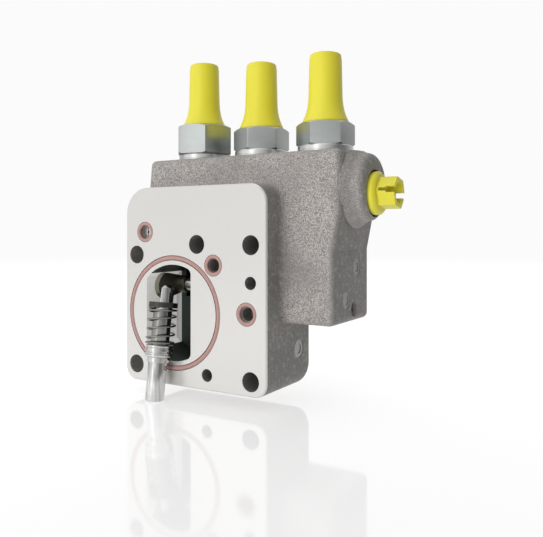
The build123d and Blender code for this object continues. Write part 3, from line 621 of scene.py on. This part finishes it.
class VALVE_OT_dress_nodes(Operator):
    """Give the CAD nodes that stay their finishes"""

    bl_idname = "valve.dress_nodes"
    bl_label = "Dress CAD Nodes"

    def execute(self, context):
        look = context.scene.valve_look
        materials = {
            "casting": casting_finish(look),
            "seal_rubber": rubber_finish("brown_seal_rubber", look.seal, (0.36, 0.20, 0.18)),
            "black_rubber": rubber_finish("black_seal_rubber", (0.05, 0.05, 0.05), (0.02, 0.02, 0.02)),
            "bright_steel": turned_finish(
                "bright_turned_steel", (0.66, 0.66, 0.65), (0.82, 0.82, 0.81), 0.22
            ),
            "ground_steel": turned_finish(
                "ground_pin_steel", (0.58, 0.58, 0.57), (0.76, 0.76, 0.75), 0.15, (-PIN_LEAN, 0.0, 0.0)
            ),
            "pin_steel": pin_finish(
                "pin_steel_darker_under_spring", (0.50, 0.50, 0.49), (0.80, 0.80, 0.79), (0.22, 0.225, 0.20)
            ),
            "dark_steel": steel_finish(
                "blackened_steel", (0.13, 0.125, 0.095), (0.27, 0.26, 0.20), 0.42
            ),
            "washer_steel": steel_finish(
                "blackened_washer", (0.045, 0.045, 0.038), (0.13, 0.125, 0.10), 0.34
            ),
            "spring_steel": steel_finish(
                "spring_wire", (0.20, 0.20, 0.19), (0.36, 0.355, 0.34), 0.28, 0.08, (900.0, 900.0, 900.0)
            ),
            "zinc_steel": steel_finish(
                "zinc_plate", look.zinc_dark, look.zinc_light, 0.30, 0.12, (90.0, 90.0, 420.0)
            ),
            "plug_steel": steel_finish(
                "pressed_plug_steel",
                (0.27, 0.27, 0.258),
                (0.46, 0.457, 0.44),
                0.36,
                0.12,
                (700.0, 700.0, 700.0),
                0.06 * MM,
            ),
            "yellow_plastic": plastic_finish(look),
        }
        own = {
            "expander_plugs": "plug_steel",
            "snap_ring": "ground_steel",
            "feedback_pin": "pin_steel",
            "pin_washer": "washer_steel",
        }
        slots = {part["node"]: part["material_slot"] for part in frame["record"]["subparts"]}
        for name, node in nodes.items():
            node.data.materials.clear()
            node.data.materials.append(materials[own.get(name, slots[name])])
        return {"FINISHED"}


class VALVE_OT_adjuster_plugs(Operator):
    """Model the three screwed plugs with hexagon, undercut, collar and threaded shank"""

    bl_idname = "valve.adjuster_plugs"
    bl_label = "Adjuster Plugs"

    def execute(self, context):
        detail = context.scene.valve_detail
        bore, crest, root, foot = 8.0, 10.95, 10.1, 61.0
        shank_profile = [
            (bore, foot), (crest, foot), *ridges(crest, root, foot + 0.4, 8, (0.3, 0.75, 0.9, 1.35)),
            (crest, 75.6), (10.4, 75.8), (10.4, 76.9), (13.0, 76.9), (13.2, 77.1), (13.2, 78.9),
            (13.0, 79.15), (12.1, 79.2), (12.1, HEX_BOTTOM), (bore, HEX_BOTTOM), (bore, foot),
        ]
        for index, station in enumerate(STATIONS):
            node = f"{station}_adjuster_plug"
            width, top = HEX_WIDTHS[index], HEX_TOPS[index]
            corner = width / math.sqrt(3)
            slope = 0.55 * (corner - width / 2 + 0.5)
            mask_profile = (
                (0, HEX_BOTTOM), (corner - 0.9, HEX_BOTTOM), (corner + 0.3, HEX_BOTTOM + 0.7),
                (corner + 0.3, top - slope - 0.15), (width / 2 - 0.4, top), (0, top),
            )
            body = hex_prism(f"{station}_hexagon_plug", width, HEX_BOTTOM, top, HEX_TURNS[index])
            combine(body, turn("corner_mask", mask_profile, detail.turn_steps), "INTERSECT")
            soften(body, detail.hex_edge)
            shank = turn(f"{station}_plug_shank", shank_profile, detail.turn_steps)
            soften(shank, 0.06, 1, 50.0)
            for piece in (body, shank):
                put(piece, (STATION_X[index], STATION_Y, 0))
            finish_piece(body, coat(node), "zinc_steel", "housing", node)
            finish_piece(shank, coat("lever_pivot"), "bright_steel", "housing", node)
        return {"FINISHED"}


class VALVE_OT_caps(Operator):
    """Model the three yellow protective caps as thin moulded shells"""

    bl_idname = "valve.caps"
    bl_label = "Protective Caps"

    def execute(self, context):
        detail = context.scene.valve_detail
        rim = 10.9
        lip = rim - detail.cap_wall
        outside = [
            (lip, 0.0), (rim, 0.0), (10.95, 0.7), (10.75, 1.3), (10.2, 2.4), (9.55, 4.0), (8.95, 6.0),
            (8.5, 8.2), (8.24, 10.2), (8.08, 12.6), (7.72, 29.8), (7.55, 30.6), (7.5, 31.4), (7.36, 31.95),
            (7.0, 32.35), (6.4, 32.58), (3.2, 32.6), (0.9, 32.52), (0, 32.45),
        ]
        inside = [
            (0, 31.3), (6.0, 31.3), (6.35, 30.8), (6.88, 12.6), (7.0, 10.2), (7.3, 8.0), (8.3, 4.0),
            (9.2, 1.9), (lip, 0.9), (lip, 0.0),
        ]
        for index, station in enumerate(STATIONS):
            node = f"{station}_cap"
            foot = HEX_TOPS[index] + SEAT_GAP
            points = [(radius, foot + height) for radius, height in outside + inside]
            shell = turn(f"{station}_cap_shell", points, detail.turn_steps)
            soften(shell, 0.12, 2, 40.0)
            put(shell, (STATION_X[index], STATION_Y, 0))
            finish_piece(shell, coat(node), "yellow_plastic", node, node)
        return {"FINISHED"}


class VALVE_OT_spindles(Operator):
    """Model the threaded spindles and their lock nuts under the caps"""

    bl_idname = "valve.spindles"
    bl_label = "Spindles and Lock Nuts"

    def execute(self, context):
        pitch = context.scene.valve_detail.spindle_pitch
        crest, root, socket, foot, rise = 2.98, 2.5, 1.5, 75.0, 27.5
        nut_width, nut_height, nut_turn = 10.0, 5.0, 30
        nut_profile = (
            (3.06, 0), (5.1, 0), (5.8, 0.5), (5.8, 4.5), (5.1, nut_height), (3.4, nut_height),
            (3.06, 4.6), (3.06, 0),
        )
        for index, station in enumerate(STATIONS):
            node = f"{station}_spindle"
            top = HEX_TOPS[index] + rise
            points = [(0, foot), (2.6, foot)]
            height = foot + 0.4
            while height < top - 1.2:
                points += [(root, height), (crest, height + pitch * 0.42), (crest, height + pitch * 0.56)]
                height += pitch
            points += [(root, height), (root, top - 0.4), (2.1, top)]
            points += [(socket, top), (socket, top - 3.3), (0, top - 3.5)]
            spindle = turn(f"{station}_threaded_spindle", points, 48)
            soften(spindle, 0.03, 1, 60.0)
            put(spindle, (STATION_X[index], STATION_Y, 0))
            finish_piece(spindle, coat(node), "zinc_steel", node, node)

            node = f"{station}_lock_nut"
            base = HEX_TOPS[index] + SEAT_GAP
            nut = hex_prism(f"{station}_hex_nut", nut_width, base, base + nut_height, nut_turn)
            mask = turn("nut_mask", [(radius, base + height) for radius, height in nut_profile], 64)
            combine(nut, mask, "INTERSECT")
            soften(nut, 0.1)
            put(nut, (STATION_X[index], STATION_Y, 0))
            finish_piece(nut, coat(node), "zinc_steel", node, node)
        return {"FINISHED"}


class VALVE_OT_port_plug(Operator):
    """Model the port's plastic plug: threaded shank, flange and hollow hexagon with a cross slot"""

    bl_idname = "valve.port_plug"
    bl_label = "Port Plug"

    def execute(self, context):
        detail = context.scene.valve_detail
        floor, above, slot_turn = 95.4, 104.0, 78.0
        hexagon = hex_prism("plug_hexagon", 13.0, 93.2, 102.4, 47.7)
        bore_profile = ((0, floor), (4.7, floor), (4.9, above), (0, above), (0, floor))
        combine(hexagon, turn("socket_tool", bore_profile, 64), "DIFFERENCE")
        for width, start in ((1.5, 95.0), (2.8, 98.4)):
            slot = block("slot_tool", (20.0, width, above - start))
            put(slot, (0, 0, (start + above) / 2), rotation("Z", slot_turn))
            combine(hexagon, slot, "DIFFERENCE")
        foot, crest, root = 80.5, 5.95, 5.3
        profile = [
            (0, foot), (5.4, foot), *ridges(crest, root, foot + 0.7, 5, (0.25, 0.7, 0.8, 1.25)),
            (5.6, 89.2), (5.6, 90.5), (9.55, 90.5), (9.9, 90.75), (9.9, 92.9), (9.75, 93.2), (8.8, 94.1),
            (8.3, 94.3), (0, 94.3), (0, foot),
        ]
        plug = turn("slotted_port_plug", profile, detail.turn_steps)
        combine(plug, hexagon, "UNION")
        soften(plug, 0.15, 2, 40.0)
        put(plug, (0, *PORT_AXIS), rotation("Y", 90))
        finish_piece(plug, coat("port_plug"), "yellow_plastic", "port_plug", "port_plug")
        return {"FINISHED"}


class VALVE_OT_feedback_pin(Operator):
    """Model the hanging pin with its flat lap, eye and groove, and the sleeve on it"""

    bl_idname = "valve.feedback_pin"
    bl_label = "Feedback Pin"

    def execute(self, context):
        detail = context.scene.valve_detail
        pin, groove = 4.5, 4.0
        rod_profile = [
            (0, -2.2), (3.3, -2.2), (pin, -1.0), (pin, 32.1), (groove, 32.1), (groove, 34.4), (pin, 34.4),
            (pin, 50.6), (4.42, 50.8), (4.42, 51.9), (3.9, 52.5), (0, 52.5),
        ]
        rod = turn("turned_pin", rod_profile, detail.turn_steps)
        lap_face, lap_end, lap_width, lap_height = 1.5, 6.45, 10.0, 12.0
        lap = block("lap_tool", (lap_width, 12.0, lap_height))
        put(lap, (lap_face - lap_width / 2, 0, lap_end - lap_height / 2))
        combine(rod, lap, "DIFFERENCE")
        eye, reach = 1.27, 8.0
        eye_profile = ((0, -reach), (eye, -reach), (eye, reach), (0, reach), (0, -reach))
        eye_hole = turn("eye_hole", eye_profile, 48)
        put(eye_hole, (0, 0, 0), rotation("Y", 90))
        combine(rod, eye_hole, "DIFFERENCE")
        soften(rod, 0.12, 2, 40.0)
        put(rod, AXLE, PIN_FRAME)
        finish_piece(rod, coat("feedback_pin"), "ground_steel", "feedback_pin", "feedback_pin")

        bore, near_end, far_end = 4.53, 26.3, 31.9
        sleeve_profile = [
            (bore, near_end), (6.1, near_end), (6.5, 26.5), (6.5, 27.3), (6.2, 27.45), (6.2, 27.6),
            (6.6, 27.75), (6.6, 29.2), (5.7, 29.25), (5.7, 29.85), (6.4, 29.9), (6.4, 30.6), (6.0, 30.7),
            (6.0, 30.9), (6.4, 31.0), (6.4, 31.6), (6.1, far_end), (bore, far_end), (bore, near_end),
        ]
        sleeve = turn("grooved_sleeve", sleeve_profile, detail.turn_steps)
        soften(sleeve, 0.06, 1, 40.0)
        put(sleeve, AXLE, PIN_FRAME)
        finish_piece(sleeve, coat("feedback_sleeve"), "ground_steel", "feedback_sleeve", "feedback_sleeve")
        return {"FINISHED"}


class VALVE_OT_springs(Operator):
    """Coil the feedback spring and the valve springs between the pieces they press on"""

    bl_idname = "valve.springs"
    bl_label = "Springs"

    def execute(self, context):
        steel = coat("feedback_spring")
        radius, wire, turns = 6.55, 0.9, 3.5
        start, end = 8.52, 26.28
        closed = (1.0, wire * 1.08)
        rise = end - start - wire - 2 * closed[1]
        spring = coil("feedback_coil", radius, wire, start, (closed, (turns, rise), closed), 1.9)
        put(spring, AXLE, PIN_FRAME)
        finish_piece(spring, steel, "spring_steel", None, "feedback_spring")
        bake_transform(spring)

        radius, wire, turns = 5.9, 1.8, 1.5
        starts, end = (53.02, 52.02, 52.02), 71.98
        closed = (1.0, wire * 1.02)
        join_angle = (closed[0] + turns) * 2 * math.pi
        for index, station in enumerate(STATIONS):
            start = starts[index]
            centre = (STATION_X[index], STATION_Y)
            half = (end - start) / 2
            rise = half - wire / 2 - closed[1]
            join = start + half - wire / 2
            lower = coil(f"{station}_lower_coil", radius, wire, start, (closed, (turns, rise)))
            upper = coil(f"{station}_upper_coil", radius, wire, join, ((turns, rise), closed), join_angle)
            for piece in (lower, upper):
                put(piece, (*centre, 0))
                finish_piece(piece, steel, "spring_steel", None, f"{station}_spring")
            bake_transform(lower)
            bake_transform(upper)
        return {"FINISHED"}


def lay_floor(level):
    """A pale disc that reflects faintly and fades into the backdrop."""
    bpy.ops.object.select_all(action="DESELECT")
    bpy.ops.mesh.primitive_circle_add(vertices=128, radius=2.4, fill_type="NGON", location=(0, 0, level))
    floor = context_piece("floor")
    bpy.ops.object.mode_set(mode="EDIT")
    bpy.ops.mesh.select_all(action="SELECT")
    bpy.ops.mesh.inset(thickness=1.0)
    bpy.ops.object.mode_set(mode="OBJECT")
    bpy.ops.object.transform_apply(location=True)
    finish = Finish("pale_floor")
    x, y = finish.axes()[:2]
    distance = (x * x + y * y) ** 0.5
    finish.shade(Base_Color=(0.42, 0.42, 0.422, 1.0), Roughness=0.06, Specular_IOR_Level=1.0)
    finish.shade(Emission_Color=(1.0, 1.0, 1.0, 1.0), Emission_Strength=0.54)
    clear = finish.add("ShaderNodeBsdfTransparent", {}, "BSDF")
    faded = distance.ramp(0.10, 0.35) * 0.62 + distance.ramp(0.5, 1.2) * 0.38
    mixed = finish.tree.nodes.new("ShaderNodeMixShader")
    finish.feed(mixed.inputs[0], faded)
    finish.tree.links.new(finish.shader.outputs[0], mixed.inputs[1])
    finish.feed(mixed.inputs[2], clear)
    finish.tree.links.new(mixed.outputs[0], finish.tree.nodes["Material Output"].inputs["Surface"])
    floor.data.materials.append(finish.material)


def hang_lamp(context, name, place, width, watts):
    """A soft square lamp turned towards the valve, unseen by the camera and by reflections."""
    target = Vector((0.02, 0.02, 0.03))
    lamp = bpy.data.lights.new(name, "AREA")
    lamp.shape = "SQUARE"
    lamp.size = width
    lamp.energy = watts
    holder = bpy.data.objects.new(name, lamp)
    context.scene.collection.objects.link(holder)
    holder.location = place
    holder.rotation_euler = (target - Vector(place)).to_track_quat("-Z", "Y").to_euler()
    holder.visible_camera = False
    holder.visible_glossy = False


def fill_world(context):
    """White air: even to the camera, and a studio with a bright panel and dark sides to reflections."""
    world = bpy.data.worlds.new("studio_air")
    context.scene.world = world
    world.use_nodes = True
    tree = world.node_tree
    background = tree.nodes["Background"]
    place = tree.nodes.new("ShaderNodeTexCoord")
    split = tree.nodes.new("ShaderNodeSeparateXYZ")
    tree.links.new(place.outputs["Generated"], split.inputs[0])
    side, depth, rise = (Wire(tree, output) for output in split.outputs)
    rays = tree.nodes.new("ShaderNodeLightPath").outputs
    seen = Wire(tree, rays["Is Camera Ray"])
    mirrored = (Wire(tree, rays["Is Glossy Ray"]) + Wire(tree, rays["Is Transmission Ray"])).clamped()
    dark = side.ramp(-0.05, 0.75)
    back = depth.ramp(0.35, 0.4)
    right = side.ramp(0.70, 0.25)
    left = (side * -1.0).ramp(0.86, 0.10)
    panel = side.ramp(-0.42, 0.10) * (side * -1.0).ramp(0.0, 0.10) * (depth * -1.0).ramp(0.0, 0.30)
    studio = 0.92 + panel * 0.72 - dark * 0.46 - back * 0.10 - right * 0.30 - left * 0.44 + rise * 0.05
    lit = 0.88 - dark * 0.62
    level = seen * 0.965 + (1 - seen) * (mirrored * studio + (1 - mirrored) * lit)
    tree.links.new(level.socket, background.inputs["Strength"])
    background.inputs["Color"].default_value = (1.0, 1.0, 1.0, 1.0)


class VALVE_OT_stage(Operator):
    """Set up the floor, the lamps, the world and the camera"""

    bl_idname = "valve.stage"
    bl_label = "Studio"

    def execute(self, context):
        stage = context.scene.valve_stage
        lay_floor(stage.floor_level)
        hang_lamp(context, "key_lamp", (-0.06, -0.94, 0.12), 0.55, stage.key_power)
        hang_lamp(context, "top_lamp", (0.15, 0.10, 0.85), 0.60, stage.fill_power)
        fill_world(context)

        camera = bpy.data.cameras.new("view_camera")
        holder = bpy.data.objects.new("view_camera", camera)
        context.scene.collection.objects.link(holder)
        camera.lens = stage.lens
        camera.sensor_width = 36.0
        camera.shift_x = 0.0009
        camera.shift_y = -0.0709
        camera.clip_start = 0.01
        holder.location = (0.200, -0.241, 0.040)
        holder.rotation_euler = (math.pi / 2, 0.0, stage.azimuth)
        context.scene.camera = holder
        context.scene.view_settings.view_transform = "Standard"
        return {"FINISHED"}


class VALVE_PT_panel(Panel):
    """Lists the valve's operators and settings in the sidebar"""

    bl_label = "Pump Control Valve"
    bl_idname = "VALVE_PT_panel"
    bl_space_type = "VIEW_3D"
    bl_region_type = "UI"
    bl_category = "Valve"

    def draw(self, context):
        for operator in OPERATORS:
            self.layout.operator(operator.bl_idname)
        for group in (context.scene.valve_look, context.scene.valve_detail, context.scene.valve_stage):
            box = self.layout.box()
            for key in group.__annotations__:
                box.prop(group, key)


OPERATORS = (
    VALVE_OT_dress_nodes,
    VALVE_OT_adjuster_plugs,
    VALVE_OT_caps,
    VALVE_OT_spindles,
    VALVE_OT_port_plug,
    VALVE_OT_feedback_pin,
    VALVE_OT_springs,
    VALVE_OT_stage,
)
CLASSES = (ValveLook, ValveDetail, ValveStage, *OPERATORS, VALVE_PT_panel)


def register():
    """Register the classes and hang the settings on the scene."""
    for cls in CLASSES:
        bpy.utils.register_class(cls)
    bpy.types.Scene.valve_look = PointerProperty(type=ValveLook)
    bpy.types.Scene.valve_detail = PointerProperty(type=ValveDetail)
    bpy.types.Scene.valve_stage = PointerProperty(type=ValveStage)


def unregister():
    """Take the settings off the scene and unregister the classes."""
    del bpy.types.Scene.valve_stage
    del bpy.types.Scene.valve_detail
    del bpy.types.Scene.valve_look
    for cls in reversed(CLASSES):
        bpy.utils.unregister_class(cls)


def main():
    """Build every piece."""
    register()
    bpy.ops.valve.dress_nodes()
    bpy.ops.valve.adjuster_plugs()
    bpy.ops.valve.caps()
    bpy.ops.valve.spindles()
    bpy.ops.valve.port_plug()
    bpy.ops.valve.feedback_pin()
    bpy.ops.valve.springs()
    bpy.ops.valve.stage()


if __name__ == "__main__":
    main()
